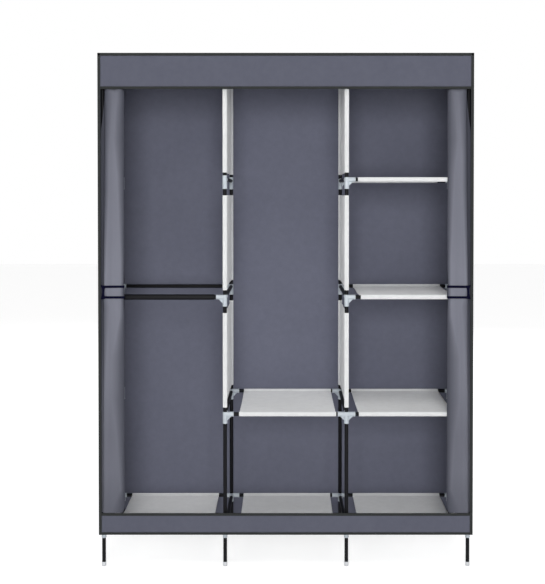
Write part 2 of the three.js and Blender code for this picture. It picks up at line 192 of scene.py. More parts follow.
# The uprights: thin steel tube, powder coated satin black. Each is a run of short tubes pushed
# together inside the connectors, and stands on a moulded cap that is pressed over its end.
TUBE_RADIUS = 6.5 * MM
TUBE_WALL = 0.6 * MM
TUBE_SIDES = 28
FOOT_RADIUS = 7.5 * MM
FOOT_HEIGHT = 15 * MM
FOOT_SEAT, FOOT_PLAY = 1 * MM, 0.1 * MM
SHARP_ANGLE = math.radians(38)
COAT = (0.003, 0.003, 0.004), (0.007, 0.007, 0.009)
MILKY = (0.50, 0.51, 0.53), (0.72, 0.74, 0.77)


def ring(radius, height, place):
    """A circle of points round place's Z axis."""
    return [place @ Vector((radius * math.cos(turn), radius * math.sin(turn), height))
            for turn in (2 * math.pi * i / TUBE_SIDES for i in range(TUBE_SIDES))]


class Form:
    """Points and faces that grow into one piece's mesh. Each face has its finish's number."""

    def __init__(self):
        self.points, self.faces, self.finishes = [], [], []

    def skin(self, rows, finish=0, round_rows=True, round_all=False):
        """Faces between rows of points. round_rows closes each row on itself, and round_all joins
        the last row to the first."""
        start, count = len(self.points), len(rows[0])
        for row in rows:
            self.points.extend(row)
        last = len(rows) if round_all else len(rows) - 1
        for k in range(last):
            low, high = start + k * count, start + (k + 1) % len(rows) * count
            for i in range(count if round_rows else count - 1):
                j = (i + 1) % count
                self.faces.append((low + i, low + j, high + j, high + i))
                self.finishes.append(finish)

    def turned(self, profile, place, finish=0):
        """A profile of (radius, height) points turned round place's Z axis; it closes on itself."""
        self.skin([ring(*point, place) for point in profile], finish, round_all=True)

    def piece(self, name, finishes, body, slot, stands_for=(), closed=True):
        """The finished object, in place of the solids it stands for. It rides on its body, if any."""
        mesh = bpy.data.meshes.new(name)
        mesh.from_pydata(self.points, [], self.faces)
        for finish in finishes:
            mesh.materials.append(finish)
        mesh.polygons.foreach_set("material_index", self.finishes)
        if closed:
            work = bmesh.new()
            work.from_mesh(mesh)
            bmesh.ops.recalc_face_normals(work, faces=work.faces)
            work.to_mesh(mesh)
            work.free()
        mesh.shade_smooth()
        mesh.set_sharp_from_angle(angle=SHARP_ANGLE)
        mesh.validate()
        made = bpy.data.objects.new(name, mesh)
        bpy.context.collection.objects.link(made)
        if body:
            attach(made, body)
        if stands_for:
            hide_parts(*stands_for)
        return made


def pointing(start, end):
    """The place of a turned shape whose own Z axis runs from start to end."""
    axis = Vector(end) - Vector(start)
    return Matrix.Translation(start) @ axis.to_track_quat("Z", "Y").to_matrix().to_4x4()


def tube_profile(length):
    """A tube's wall with its ends rolled round."""
    roll, bore = TUBE_WALL / 2, TUBE_RADIUS - TUBE_WALL
    return [(bore, roll), (TUBE_RADIUS - roll, 0), (TUBE_RADIUS, roll),
            (TUBE_RADIUS, length - roll), (TUBE_RADIUS - roll, length), (bore, length - roll)]


def finish(name, sockets):
    """A new material, its shader and the signal of the place on the piece, in metres."""
    made = bpy.data.materials.new(name)
    made.use_nodes = True
    shader = made.node_tree.nodes["Principled BSDF"]
    for key, value in sockets.items():
        shader.inputs[key].default_value = value
    place = Signal(made.node_tree).node("ShaderNodeTexCoord", output="Object")
    return made, shader, place


def drive(shader, name, signal):
    signal.tree.links.new(signal.socket, shader.inputs[name])


def noise_at(place, scale, detail, roughness=0.5):
    """A soft random value round 0.5 that changes over about 1/scale metres."""
    return place.node("ShaderNodeTexNoise", {}, {
        "Vector": place, "Scale": scale, "Detail": detail, "Roughness": roughness})


def coordinate(place, axis):
    return place.node("ShaderNodeSeparateXYZ", {}, {0: place}, output=axis)


def ranged(value, low, high, start=0.0, end=1.0, way="LINEAR"):
    """What runs from start to end as the value runs from low to high, and stays there beyond."""
    return value.node("ShaderNodeMapRange", {"interpolation_type": way}, {
        "Value": value, "From Min": low, "From Max": high, "To Min": start, "To Max": end})


def colour(shader, factor, dark, pale):
    """Colours a material: dark where the factor is 0, and pale where it is 1."""
    drive(shader, "Base Color", factor.node("ShaderNodeMix", {"data_type": "RGBA"}, {
        0: factor, 6: (*dark, 1), 7: (*pale, 1)}, output=2))


def roughen(shader, height, depth, strength):
    """Gives a material its grain. depth is the grain's where the height goes from 0 to 1."""
    drive(shader, "Normal", height.node("ShaderNodeBump", {}, {
        "Height": height, "Distance": depth, "Strength": strength}))


def powder_coat():
    """Satin black with the fine orange peel of a baked powder, and a few rubbed, duller patches."""
    made, shader, place = finish("powder_coat", {"Specular IOR Level": 0.12})
    peel = noise_at(place, scale=900, detail=3)
    patches = noise_at(place, scale=14, detail=4)
    colour(shader, patches, *COAT)
    drive(shader, "Roughness", patches * 0.22 + 0.36)
    roughen(shader, peel, depth=0.12 * MM, strength=0.5)
    return made


def foot_plastic():
    """Milky moulded plastic, a little darker in the few millimetres next to the floor."""
    made, shader, place = finish("foot_plastic", {"Roughness": 0.45})
    dark_below, pale_above, ragged = 1 * MM, 6 * MM, 3 * MM
    height = coordinate(place, "Z") + noise_at(place, scale=500, detail=2) * ragged
    # darker towards the floor, below a ragged edge
    colour(shader, ranged(height, dark_below, pale_above), *MILKY)
    roughen(shader, noise_at(place, scale=1200, detail=2), depth=0.05 * MM, strength=0.5)
    return made


black_coat = powder_coat()
pale_foot = foot_plastic()


def foot_profile():
    """A cap with a rounded sole, a slight taper and a lip, and a plug that stands in the tube."""
    sole, taper, lip, axis = 1.4 * MM, 0.2 * MM, 0.5 * MM, 0.01 * MM
    inside, plug = TUBE_RADIUS + FOOT_PLAY, TUBE_RADIUS - TUBE_WALL - FOOT_PLAY
    seat, plug_top = FOOT_HEIGHT - FOOT_SEAT, FOOT_HEIGHT + 5 * MM
    return [(axis, 0), (FOOT_RADIUS - sole, 0), (FOOT_RADIUS - sole * 0.3, sole * 0.3),
            (FOOT_RADIUS, sole), (FOOT_RADIUS - taper, FOOT_HEIGHT - lip),
            (FOOT_RADIUS - lip, FOOT_HEIGHT), (inside, FOOT_HEIGHT), (inside, seat),
            (plug, seat), (plug, plug_top), (axis, plug_top)]


def middle(node):
    low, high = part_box(node)
    return (low + high) / 2


FRAMES = ("left", "midleft", "midright", "right")
BAYS = ("left", "middle", "right")
for row in ("front", "back"):
    for side in FRAMES:
        node = f"upright_{row}_{side}"
        low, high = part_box(node)
        foot = Vector((middle(node).x, middle(node).y, 0))
        upright = Form()
        tube_foot = FOOT_HEIGHT - FOOT_SEAT + FOOT_PLAY
        upright.turned(tube_profile(high.z - tube_foot),
                       Matrix.Translation(foot + Vector((0, 0, tube_foot))))
        upright.turned(foot_profile(), Matrix.Translation(foot), finish=1)
        upright.piece(f"post_{row}_{side}", (black_coat, pale_foot), "frame", "black_tube", (node,))


# The connectors: pale blue-grey moulded plastic. A sleeve slides on the upright, an arm takes each
# tube, and a web with a flange along its slanting edge stiffens the corner under the arm. Those of
# the base are shorter and have no webs, and nor have the short arms at the back's outer corners.
HUB_RADIUS = 8.0 * MM
BORE_RADIUS = 6.8 * MM
ARM_REACH = 30 * MM
COLLAR = 0.45 * MM
COLLAR_LENGTH = 3.2 * MM
GUSSET_LEG = 13 * MM
WEB_THICKNESS = 2.4 * MM
RIM_THICKNESS = 1.8 * MM
RIM_WIDTH = 6 * MM
TIER_DROP, TIER_RISE, PLAIN_RISE = 32 * MM, 8 * MM, 14 * MM
BASE_DROP = 23 * MM
TOP_CAP = 2 * MM
PLATE_EDGE = 0.35 * MM
OVERRUN = 1 * MM
MOULDING = (0.48, 0.53, 0.58), (0.62, 0.67, 0.72)


def moulded_plastic():
    """Pale blue-grey with a soft moulding sheen, a trace of flow marks and a fine grain."""
    made, shader, place = finish("moulded_plastic", {})
    flow = noise_at(place, scale=60, detail=3)
    colour(shader, flow, *MOULDING)
    drive(shader, "Roughness", flow * 0.2 + 0.34)
    roughen(shader, noise_at(place, scale=1500, detail=2), depth=0.05 * MM, strength=0.6)
    return made


pale_plastic = moulded_plastic()


def collared(start, end, closed_top=False):
    """A sleeve's outer profile from height start to end, with a rounded collar where it starts.
    A closed top is rounded off more than an open one."""
    lip, crown, shoulder = 0.6 * MM, 1.5 * MM, 0.5 * MM
    profile = [(0, start), (HUB_RADIUS + COLLAR - lip, start), (HUB_RADIUS + COLLAR, start + lip),
               (HUB_RADIUS + COLLAR, start + COLLAR_LENGTH),
               (HUB_RADIUS, start + COLLAR_LENGTH + COLLAR)]
    if closed_top:
        return profile + [(HUB_RADIUS, end - crown), (HUB_RADIUS - shoulder, end - shoulder),
                          (HUB_RADIUS - crown, end), (0, end)]
    return profile + [(HUB_RADIUS, end - lip), (HUB_RADIUS - lip, end), (0, end)]


def solid_of(rows):
    """Rows of points closed into a solid, in an object of its own, for cutting and joining."""
    form, count = Form(), len(rows[0])
    form.skin(rows)
    form.faces.append(tuple(reversed(range(count))))
    form.faces.append(tuple(range((len(rows) - 1) * count, len(rows) * count)))
    mesh = bpy.data.meshes.new("part")
    mesh.from_pydata(form.points, [], form.faces)
    made = bpy.data.objects.new("part", mesh)
    bpy.context.collection.objects.link(made)
    return made


def round_solid(profile, place):
    """A turned solid whose profile starts and ends on the axis."""
    return solid_of([ring(*point, place) for point in profile[1:-1]])


def plate(outline, thickness, place):
    """A flat plate: an outline of (out, up) points in the plane of place's X and Z."""
    made = solid_of([[place @ Vector((out, side * thickness / 2, up)) for out, up in outline]
                     for side in (1, -1)])
    edge = made.modifiers.new("edge", "BEVEL")
    edge.width, edge.segments = PLATE_EDGE, 2
    return made


def gusset_plates(arm):
    """The web and the flange in the inside corner under an arm."""
    place = Matrix.Rotation(math.atan2(arm.y, arm.x), 4, "Z")
    corner, bite = HUB_RADIUS + GUSSET_LEG, 0.6 * MM
    web = [(0, 0), (0, -corner), (HUB_RADIUS, -corner), (corner, -HUB_RADIUS), (corner, 0)]
    lift = RIM_THICKNESS * math.sqrt(2)
    rim = [(corner + bite, bite - HUB_RADIUS), (corner + bite - lift, bite - HUB_RADIUS),
           (HUB_RADIUS - bite, lift - corner - bite), (HUB_RADIUS - bite, -corner - bite)]
    return [plate(web, WEB_THICKNESS, place), plate(rim, RIM_WIDTH, place)]


def combined(first, others, operation):
    """first joined with, or cut by, all the others."""
    for other in others:
        step = first.modifiers.new("step", "BOOLEAN")
        step.object, step.operation, step.solver = other, operation, "EXACT"


def connector_mesh(arms, drop, rise, closed_top, webs):
    """One connector round the crossing of its axes, with bores for its tubes. The length of an
    arm's vector is its share of the full reach, and a short arm has no web."""

    def bore(start, end, place):
        profile = [(0, start), (BORE_RADIUS, start), (BORE_RADIUS, end), (0, end)]
        return round_solid(profile, place)

    along_z = Matrix.Identity(4)
    body = round_solid(collared(-drop, rise, closed_top), along_z)
    joined = []
    bores = [bore(-drop - OVERRUN, HUB_RADIUS if closed_top else rise + OVERRUN, along_z)]
    for arm in arms:
        place, reach = pointing((0, 0, 0), arm), ARM_REACH * arm.length
        outer = [(radius, -height) for radius, height in reversed(collared(-reach, 0))]
        joined.append(round_solid(outer, place))
        joined += gusset_plates(arm) if webs and reach > HUB_RADIUS + GUSSET_LEG else []
        bores.append(bore(HUB_RADIUS, reach + OVERRUN, place))
    combined(body, joined, "UNION")
    combined(body, bores, "DIFFERENCE")
    view = bpy.context.evaluated_depsgraph_get()
    mesh = bpy.data.meshes.new_from_object(body.evaluated_get(view))
    for part in (body, *joined, *bores):
        bpy.data.objects.remove(part)
    return mesh


connector_meshes = {}


def connector(form, crossing, arms, kind):
    """Adds a connector to a form. Equal ones share one mesh."""
    rise = TIER_RISE if len(arms) > 1 else PLAIN_RISE
    shape = {"tier": (TIER_DROP, rise, False, True), "base": (BASE_DROP, TIER_RISE, False, False),
             "top": (TIER_DROP, TIER_RISE + TOP_CAP, True, True)}[kind]
    key = (kind, *(tuple(round(c, 1) for c in arm) for arm in arms))
    if key not in connector_meshes:
        connector_meshes[key] = connector_mesh(arms, *shape)
    start = len(form.points)
    form.points.extend(Vector(crossing) + v.co for v in connector_meshes[key].vertices)
    for face in connector_meshes[key].polygons:
        form.faces.append(tuple(start + i for i in face.vertices))
        form.finishes.append(1)


# The cross rails: at each of the three middle levels a tube joins the front and back uprights of
# every side frame, with a connector pressed on each end.
FRONT_Y, BACK_Y = middle("upright_front_left").y, middle("upright_back_left").y
FRAME_X = [middle(f"upright_front_{side}").x for side in FRAMES]
FITTED = {"low": ("middle", "right"), "mid": ("left", "right"), "high": ("right",)}
SOCKET_PLAY = 0.2 * MM
SEAT = HUB_RADIUS + SOCKET_PLAY
CORNER_ARM_SHARE = 0.5


def width_arms(i, y, bays):
    """The arms that take the width rails at side frame i. At the back's outer corners, where the
    rails show right beside the curtains, they are short."""
    reach = CORNER_ARM_SHARE if y == BACK_Y and i in (0, len(BAYS)) else 1
    return ([-X * reach] if i > 0 and BAYS[i - 1] in bays else []) + (
        [X * reach] if i < len(BAYS) and BAYS[i] in bays else [])


def tube(form, start, end, profile=tube_profile):
    form.turned(profile(math.dist(start, end)), pointing(start, end))


def cross_tube(form, x, z):
    tube(form, (x, FRONT_Y + SEAT, z), (x, BACK_Y - SEAT, z))


def rail_level(tier):
    """The height of the tubes' axes on a middle level."""
    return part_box(f"cross_rail_{tier}_right")[1].z - (
        TIER_RISE if "right" in FITTED[tier] else PLAIN_RISE)


LEVELS = {tier: rail_level(tier) for tier in FITTED}
LEVELS["base"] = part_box("base_frame")[1].z - TIER_RISE
LEVELS["top"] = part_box("top_frame")[1].z - TIER_RISE - TOP_CAP
for tier, bays in FITTED.items():
    for i, side in enumerate(FRAMES):
        node = f"cross_rail_{tier}_{side}"
        rail = Form()
        cross_tube(rail, FRAME_X[i], LEVELS[tier])
        for y, inward in ((FRONT_Y, Y), (BACK_Y, -Y)):
            connector(rail, (FRAME_X[i], y, LEVELS[tier]), [inward, *width_arms(i, y, bays)],
                      "tier")
        rail.piece(f"crossbar_{tier}_{side}", (black_coat, pale_plastic), "frame", "black_tube",
                   (node,))


# The base and the top of the frame: eight connectors each, with their cross tubes and the width
# tubes that stay in them. Those of the top are closed over the ends of the uprights.
for kind, fixed_rows in (("base", (FRONT_Y, BACK_Y)), ("top", (BACK_Y,))):
    tier = Form()
    for i, x in enumerate(FRAME_X):
        cross_tube(tier, x, LEVELS[kind])
        for y, inward in ((FRONT_Y, Y), (BACK_Y, -Y)):
            connector(tier, (x, y, LEVELS[kind]), [inward, *width_arms(i, y, BAYS)], kind)
    for left, right in zip(FRAME_X, FRAME_X[1:]):
        for y in fixed_rows:
            tube(tier, (left + SEAT, y, LEVELS[kind]), (right - SEAT, y, LEVELS[kind]))
    tier.piece(f"{kind}_tier", (black_coat, pale_plastic), "frame", "black_tube",
               (f"{kind}_frame",))


# The width rails and the hanging rails: loose tubes that push into the connectors' arms. A hanging
# rail is a wider tube, drawn down at both ends to the size of the sockets.
HANGER_RADIUS = 9.5 * MM
NECK_START, NECK_LENGTH, NECK_STEPS = 24 * MM, 5 * MM, 6


def clamped(share):
    return min(1, max(0, share))


def ease_in(distance, reach):
    """A share that goes smoothly from 0 to 1 over a reach."""
    share = clamped(distance / reach)
    return share * share * (3 - 2 * share)


def hanger_profile(length):
    """A wide tube with its ends drawn down, outside and inside."""
    roll, swell = TUBE_WALL / 2, HANGER_RADIUS - TUBE_RADIUS
    outside = [(TUBE_RADIUS - roll, 0), (TUBE_RADIUS, roll), (TUBE_RADIUS, NECK_START)]
    for k in range(1, NECK_STEPS + 1):
        outside.append((TUBE_RADIUS + swell * ease_in(k, NECK_STEPS),
                        NECK_START + NECK_LENGTH * k / NECK_STEPS))
    outside += [(radius, length - along) for radius, along in reversed(outside)]
    inside = [(radius - TUBE_WALL, along) for radius, along in reversed(outside)][1:-1]
    return outside + inside


for node in sorted(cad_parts):
    if "_rail_" not in node or node.startswith("cross_rail"):
        continue
    low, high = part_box(node)
    centre = middle(node)
    rail = Form()
    tube(rail, (low.x, centre.y, centre.z), (high.x, centre.y, centre.z),
         hanger_profile if "hanging" in node else tube_profile)
    rail.piece(node.replace("rail", "bar"), (black_coat,), "frame", "black_tube", (node,))


# The shelves and partitions: white non-woven cloth, cut to a strip whose two ends are turned back
# round a tube and stitched down as sleeves. A shelf lies on its rails; a partition stands upright.
CLOTH = 0.8 * MM
SLEEVE_RADIUS = 7.2 * MM
STITCH = 9.5 * MM
HEM_END = 19 * MM
SHEET_STEP = 6 * MM
SHELF_SAG = 3 * MM
SHRUNK = 6 * MM
SLEEVE_STEPS = 22
SLACK_REACH, SLACK_WAVE, FINE_WAVE = 60 * MM, 1.6 * MM, 0.5 * MM
PUCKER_REACH, PUCKER = 9 * MM, 0.5 * MM
SPAN = BACK_Y - FRONT_Y
THREAD = 0.35 * MM
PITCH = 5 * MM
PITCH_FREE_SHARE = 0.1
DOT_PITCH = 1.3 * MM
WHITE = (0.80, 0.805, 0.81), (0.87, 0.875, 0.88)
WHITE_THREAD = (0.48, 0.49, 0.50), (0.62, 0.63, 0.64)


def cloth_finish(name, fuzz):
    """A cloth material with its grain: the little dots that the bonding roll presses into it, and
    the loose fibres between them."""
    made, shader, place = finish(name, {
        "Roughness": 0.88, "Diffuse Roughness": fuzz, "Specular IOR Level": 0.2})
    dots = place.node("ShaderNodeTexVoronoi", {"feature": "F1", "distance": "EUCLIDEAN"}, {
        "Vector": place, "Scale": 1 / DOT_PITCH, "Randomness": 0.25})
    dots, fibres = ranged(dots, 0.15, 0.5, way="SMOOTHSTEP"), noise_at(place, scale=1800, detail=3)
    roughen(shader, dots * 0.7 + fibres * 0.3, depth=0.12 * MM, strength=0.55)
    return made, shader, place


def non_woven(name, dark, pale, fuzz):
    """Spun-bonded cloth: cloudy where its fibres lie thick or thin, dotted by the bonding roll."""
    made, shader, place = cloth_finish(name, fuzz)
    clouds = noise_at(place, scale=45, detail=5, roughness=0.62)
    shade = clouds * 0.6 + noise_at(place, scale=5, detail=2) * 0.4
    colour(shader, ranged(shade, 0.35, 0.65), dark, pale)
    return made


def sewing_thread(name, dark, pale):
    """Twisted polyester, a shade off the colour of the cloth that it holds."""
    made, shader, place = finish(name, {"Roughness": 0.6})
    twist = noise_at(place, scale=2500, detail=2)
    colour(shader, twist, dark, pale)
    roughen(shader, twist, depth=0.1 * MM, strength=0.5)
    return made


white_cloth = non_woven("white_cloth", *WHITE, 0.75)
white_thread = sewing_thread("white_thread", *WHITE_THREAD)


def stitches(form, points, finish=0):
    """A running stitch along a line of points: little spindles of thread with gaps between."""
    reach = [0.0]
    for a, b in zip(points, points[1:]):
        reach.append(reach[-1] + (b - a).length)

    def at(pitches):
        distance = pitches * PITCH
        k = min(bisect_right(reach, distance), len(points) - 1)
        share = (distance - reach[k - 1]) / (reach[k] - reach[k - 1])
        return points[k - 1].lerp(points[k], share)

    for k in range(int(reach[-1] / PITCH)):
        start, end = at(k + PITCH_FREE_SHARE), at(k + 1 - PITCH_FREE_SHARE)
        right = (end - start).orthogonal().normalized() * THREAD
        up = (end - start).cross(right).normalized() * THREAD
        base, centre = len(form.points), (start + end) / 2
        form.points += [start, end, centre + right, centre + up, centre - right, centre - up]
        for i in range(4):
            first, second = base + 2 + i, base + 2 + (i + 1) % 4
            form.faces += [(base, second, first), (base + 1, first, second)]
            form.finishes += [finish, finish]


def thickened(made, thickness):
    """Gives a sheet of cloth its thickness, half of it on each side."""
    cloth = made.modifiers.new("cloth", "SOLIDIFY")
    cloth.thickness, cloth.offset = thickness, 0
    return cloth


def touch_angle(point, side):
    """Where cloth that comes from a point meets the sleeve round the tube, above it or below."""
    return math.atan2(point.y, point.x) + side * math.acos(SLEEVE_RADIUS / point.length)


def sleeve_path():
    """The cloth's way from its cut end, round a tube at the origin and back to the seam."""
    under = Vector((STITCH, -CLOTH))
    lower, upper = touch_angle(under, -1), touch_angle(Vector((STITCH, 0)), 1)
    path = [Vector((HEM_END, under.y)), Vector(((HEM_END + STITCH) / 2, under.y)), under]
    path.append((under + SLEEVE_RADIUS * Vector((math.cos(lower), math.sin(lower)))) / 2)
    for k in range(SLEEVE_STEPS + 1):
        angle = lower - (2 * math.pi + lower - upper) * k / SLEEVE_STEPS
        path.append(SLEEVE_RADIUS * Vector((math.cos(angle), math.sin(angle))))
    return path


def sagged(u, sag):
    return -sag * math.sin(math.pi * u / SPAN) ** 2


def sheet_path(sag):
    """The whole cross-section of a sleeved sheet, from cut end to cut end."""
    first = sleeve_path()
    steps = round((SPAN - 2 * STITCH) / SHEET_STEP)
    along = [STITCH + (SPAN - 2 * STITCH) * k / steps for k in range(steps + 1)]
    last = [Vector((SPAN - p.x, p.y)) for p in reversed(first)]
    return first + [Vector((u, sagged(u, sag))) for u in along] + last


def drift(x, y, z):
    """A value round 0 that wanders smoothly, by about one turn for each step of 1."""
    return noise.noise(Vector((x, y, z)))


def ripple(u, w, seed):
    """How far the sheet stands out of its plane: slack waves, and puckers along the stitches."""
    edge = min(u, SPAN - u)
    slack = clamped((edge - STITCH) / SLACK_REACH)
    waves = drift(u * 9, w * 7, seed) * SLACK_WAVE + drift(u * 26, w * 22, seed + 7) * FINE_WAVE
    puckers = drift(w * 95, edge * 20, seed + 3) * PUCKER
    fade = math.exp(-abs(edge - STITCH) / PUCKER_REACH) if edge > SLEEVE_RADIUS else 0
    return waves * slack + puckers * fade


sheet_stitches = Form()


def sleeved_sheet(node, length, sag, place, seed, sewn_faces):
    """A sleeved sheet whose tubes run along place's Z, from the front of the frame to its back.
    sewn_faces says how far out of its plane each row of stitches shows."""
    path = sheet_path(sag)
    steps = round(length / SHEET_STEP)
    stops = [length * k / steps for k in range(steps + 1)]
    sheet = Form()
    sheet.skin([[place @ Vector((p.x, p.y + ripple(p.x, w, seed), w)) for p in path]
                for w in stops], round_rows=False)
    made = sheet.piece("cloth_" + node, (white_cloth,), "frame", "white_cloth", (node,),
                       closed=False)
    thickened(made, CLOTH)
    flat = sum((b - a).length for a, b in zip(path, path[1:]))
    for u in (STITCH, SPAN - STITCH):
        for face in sewn_faces:
            level = sagged(u, sag) + face
            line = [place @ Vector((u, level + ripple(u, w, seed), w)) for w in stops]
            stitches(sheet_stitches, line)


# A sheet's first axis goes across the frame's depth, its second out of its plane, and its third
# along its tubes.
seed = 0
for node in sorted(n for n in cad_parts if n.startswith("shelf_")):
    low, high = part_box(node)
    tier, bay = node.split("_")[1:]
    place = Matrix(((0, 0, 1, low.x), (1, 0, 0, FRONT_Y), (0, 1, 0, LEVELS[tier]), (0, 0, 0, 1)))
    tier == "base"
    seed += 11
    sleeved_sheet(node, high.x - low.x, SHELF_SAG, place, seed, (CLOTH / 2,))
for node in sorted(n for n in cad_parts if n.startswith("partition_")):
    low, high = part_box(node)
    side = node.split("_")[2]
    x, foot = FRAME_X[FRAMES.index(side)], low.z + SHRUNK
    place = Matrix(((0, -1, 0, x), (1, 0, 0, FRONT_Y), (0, 0, 1, foot), (0, 0, 0, 1)))
    seed += 11
    sleeved_sheet(node, high.z - foot, 0, place, seed,
                  (CLOTH / 2, -1.5 * CLOTH))
sheet_stitches.piece("sheet_stitches", (white_thread,), "frame", "white_cloth")


# The cover: panels of grey non-woven cloth sewn edge to edge into a case that drops over the
# frame. The roof lies on the top tier, and the sides and the back hang from it. The back's inner
# face has painted light: a paler copy of the grey that makes up for the shade inside the case.
SIDES = (("left", -1), ("right", 1))
COVER_CLOTH = 1.0 * MM
PANEL_STEP = 14 * MM
BACK_SET = 0.6 * MM
WAVE = 2.2 * MM
SIDE_HOLD, HEAD_HOLD, FOOT_HOLD = 70 * MM, 90 * MM, 60 * MM
ROOF_SAG, BAY_SAG, ROOF_WAVE, ROOF_HOLD = 1.5 * MM, 4.5 * MM, 0.8 * MM, 60 * MM
GREY = (0.112, 0.117, 0.156), (0.126, 0.131, 0.172)
# how much paler the back's inner face is painted, as painted light against the shade inside the
# case
BACK_INSIDE_PAINTED_LIGHT = 1.50

grey_cloth = non_woven("grey_cloth", *GREY, 0.3)
painted_light_lining = non_woven("painted_light_lining", *([c * BACK_INSIDE_PAINTED_LIGHT for c in shade] for shade in GREY), 0.3)
surfaces = {}


def steps_between(start, end):
    count = max(2, round(abs(end - start) / PANEL_STEP))
    return [start + (end - start) * k / count for k in range(count + 1)]


def panel(name, node, across, up, at, wave, painted_lighter_inside=False):
    """A cloth panel over the ranges across and up. at(s, t, out) gives a point that far out of its
    plane, and wave(s, t) how far the cloth stands out there."""

    def surface(s, t):
        return at(s, t, wave(s, t))

    surfaces[node] = surface, across, up
    cloth = Form()
    cloth.skin([[surface(s, t) for s in steps_between(*across)] for t in steps_between(*up)],
               round_rows=False)
    # a lined panel has painted light: a paler copy of its cloth on its inner face
    finishes = (painted_light_lining, grey_cloth) if painted_lighter_inside else (grey_cloth,)
    made = cloth.piece(name, finishes, "frame", "grey_cloth", (node,), closed=False)
    cloth = thickened(made, COVER_CLOTH)
    cloth.material_offset = cloth.material_offset_rim = 1 if painted_lighter_inside else 0


def hanging_wave(across, up, depth, seed, slack_foot=True):
    """Soft waves that fade out at the seams and grow towards a free lower edge."""

    def wave(s, t):
        fade = ease_in(min(s - across[0], across[1] - s), SIDE_HOLD)
        fade *= ease_in(up[1] - t, HEAD_HOLD)
        if not slack_foot:
            fade *= ease_in(t - up[0], FOOT_HOLD)
        return depth * fade * (drift(s * 4.2, t * 0.9, seed) + drift(s * 9, t * 4, seed + 5) * 0.5)
    return wave


low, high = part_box("cover_back")
across, up = (low.x, high.x), (low.z, high.z)
back_y = middle("cover_back").y + BACK_SET
panel("back_cloth", "cover_back", across, up, lambda s, t, out: Vector((s, back_y + out, t)),
      hanging_wave(across, up, WAVE, 3), painted_lighter_inside=True)
for side, sign in SIDES:
    node = f"cover_side_{side}"
    low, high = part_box(node)
    across, up = (low.y, high.y), (low.z, high.z)
    panel(f"side_cloth_{side}", node, across, up,
          lambda s, t, out, x=middle(node).x, sign=sign: Vector((x + sign * out, s, t)),
          hanging_wave(across, up, 2 * WAVE, 20 + sign))
roof_low, roof_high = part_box("cover_roof")
roof_z = middle("cover_roof").z


def roof_sag(s, t):
    """The roof sinks a little between the connectors and tubes that carry it."""
    along = math.sin(math.pi * (s - FRAME_X[0]) / (FRAME_X[1] - FRAME_X[0])) ** 2
    deep = math.sin(math.pi * clamped((t - FRONT_Y) / SPAN)) ** 2
    soft = drift(s * 6, t * 6, 9) * ROOF_WAVE
    edge = ease_in(min(s - roof_low.x, roof_high.x - s, t - roof_low.y, roof_high.y - t), ROOF_HOLD)
    return -(ROOF_SAG + BAY_SAG * along) * deep * edge + soft * edge


panel("roof_cloth", "cover_roof", (roof_low.x, roof_high.x), (roof_low.y, roof_high.y),
      lambda s, t, out: Vector((s, t, roof_z + out)), roof_sag)
for name in ("valance_top", "valance_bottom"):
    low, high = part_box(name)
    across, up = (low.x, high.x), (low.z, high.z)
    panel(name + "_cloth", name, across, up,
          lambda s, t, out, y=middle(name).y: Vector((s, y - out, t)),
          hanging_wave(across, up, 0.6 * WAVE, 31, slack_foot=name == "valance_top"))


# The binding: black woven tape folded over every edge of the cover and stitched through. On the
# front it frames the doors, and it also runs round the roof, down the corners and along the hems.
TAPE = 9 * MM
TAPE_THICKNESS = 2.6 * MM
PROUD = 0.9 * MM
CORNER_RETURN = 6 * MM
SEAM_MARGIN = 1.7 * MM
TAPE_PAST = 1 * MM
FLAT_ROUND_SHARE, CORNER_ROUND_SHARE = 0.4, 0.35
FRONT_HEM_INSET, SIDE_HEM_INSET = 0.8 * TAPE, 2 * MM
RIB_PITCH = 1.1 * MM
TAPE_BLACK = (0.014, 0.016, 0.016), (0.025, 0.027, 0.027)
BLACK_THREAD = (0.012, 0.013, 0.014), (0.05, 0.052, 0.055)


def woven_tape():
    """Matt black grosgrain: fine ribs both ways, and faint patches of dust."""
    made, shader, place = finish("binding_tape", {"Roughness": 0.8, "Specular IOR Level": 0.3})
    ribs = [place.math("SINE", coordinate(place, axis) * (2 * math.pi / RIB_PITCH))
            for axis in "XYZ"]
    colour(shader, noise_at(place, scale=30, detail=4), *TAPE_BLACK)
    roughen(shader, ribs[0] + ribs[1] + ribs[2], depth=0.08 * MM, strength=0.5)
    return made


black_tape = woven_tape()
black_thread = sewing_thread("black_thread", *BLACK_THREAD)


def rounded(outline, radius, steps=3):
    """A closed outline of (x, y) points with its corners rounded off."""
    made = []
    for i, point in enumerate(outline):
        corner = Vector(point)
        before = Vector(outline[i - 1]) - corner
        after = Vector(outline[(i + 1) % len(outline)]) - corner
        start = corner + before.normalized() * min(radius, before.length / 2)
        end = corner + after.normalized() * min(radius, after.length / 2)
        for k in range(steps + 1):
            share = k / steps
            made.append((1 - share) ** 2 * start + 2 * share * (1 - share) * corner
                        + share ** 2 * end)
    return made


def cap(form, row):
    """One flat face that closes the end of a skin."""
    start = len(form.points)
    form.points.extend(row)
    form.faces.append(tuple(range(start, start + len(row))))
    form.finishes.append(0)


def swept(form, section, points, right, up):
    """A section carried along a line of points. right and up are the section's own axes."""
    rows = [[Vector(point) + right * p.x + up * p.y for p in section] for point in points]
    form.skin(rows)
    cap(form, list(reversed(rows[0])))
    cap(form, rows[-1])


half, deep = TAPE / 2, TAPE_THICKNESS / 2
FLAT_SECTION = rounded([(-half, -deep), (half, -deep), (half, deep), (-half, deep)],
                       TAPE_THICKNESS * FLAT_ROUND_SHARE)


def corner_section(first, second):
    """An L round the corner of a box: first along its X, second along its Y, proud of both."""
    inside = PROUD - TAPE_THICKNESS
    return rounded([(PROUD, PROUD), (-first, PROUD), (-first, inside), (inside, inside),
                    (inside, -second), (PROUD, -second)],
                   TAPE_THICKNESS * CORNER_ROUND_SHARE)


